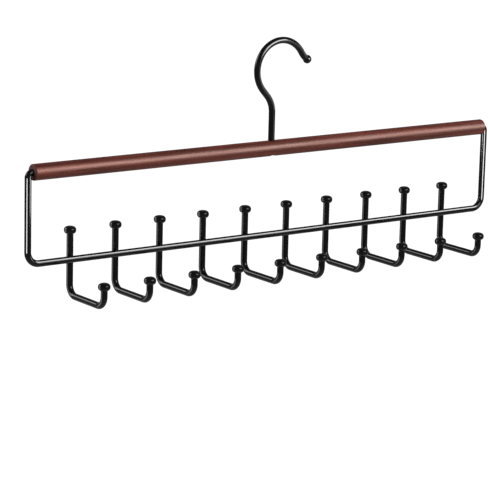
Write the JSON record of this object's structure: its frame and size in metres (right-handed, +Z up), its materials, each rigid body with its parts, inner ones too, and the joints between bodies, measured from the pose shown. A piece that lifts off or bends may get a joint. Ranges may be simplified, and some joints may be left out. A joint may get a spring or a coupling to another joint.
{
  "type": "tie hanger",
  "caption": "Tie and belt hanger: a round wood bar on a swivelling closet hook, over a wire frame that carries a row of pegs with forward tie arms.",
  "frame": {"origin": "highest point of the inside of the hook's arch, where it rests on top of the closet rod", "axes": "+X along the wood bar towards the open side of the hook, -Y the side the tie arms point to, +Z up"},
  "size_m": [0.427, 0.055, 0.1789],
  "materials": {
    "stained_wood": "reddish brown stain under a satin clear coat, fine grain along the bar",
    "frame_paint": "gloss black enamel on steel wire",
    "hook_paint": "gloss black enamel on steel wire",
    "knob_paint": "gloss black enamel, pooled a little thicker than on the wire",
    "retainer_metal": "satin black"
  },
  "bodies": {
    "hook": {"swivel_hook": "hook_paint", "hook_tip_ball": "hook_paint", "stem_retainer": "retainer_metal"},
    "hanger": {"wood_bar": "stained_wood", "frame_wire": "frame_paint", "hook_wire_01": "frame_paint", "hook_wire_02": "frame_paint", "hook_wire_03": "frame_paint", "hook_wire_04": "frame_paint", "hook_wire_05": "frame_paint", "hook_wire_06": "frame_paint", "hook_wire_07": "frame_paint", "hook_wire_08": "frame_paint", "hook_wire_09": "frame_paint", "hook_wire_10": "frame_paint", "peg_knob_01": "knob_paint", "peg_knob_02": "knob_paint", "peg_knob_03": "knob_paint", "peg_knob_04": "knob_paint", "peg_knob_05": "knob_paint", "peg_knob_06": "knob_paint", "peg_knob_07": "knob_paint", "peg_knob_08": "knob_paint", "peg_knob_09": "knob_paint", "peg_knob_10": "knob_paint", "arm_knob_01": "knob_paint", "arm_knob_02": "knob_paint", "arm_knob_03": "knob_paint", "arm_knob_04": "knob_paint", "arm_knob_05": "knob_paint", "arm_knob_06": "knob_paint", "arm_knob_07": "knob_paint", "arm_knob_08": "knob_paint", "arm_knob_09": "knob_paint", "arm_knob_10": "knob_paint"}
  },
  "joints": [
    {"name": "hook_swivel", "type": "hinge", "parent": "hook", "child": "hanger", "pos_m": [-0.00745, 0, -0.07839], "axis": [0, 0, 1], "continuous": true}
  ]
}
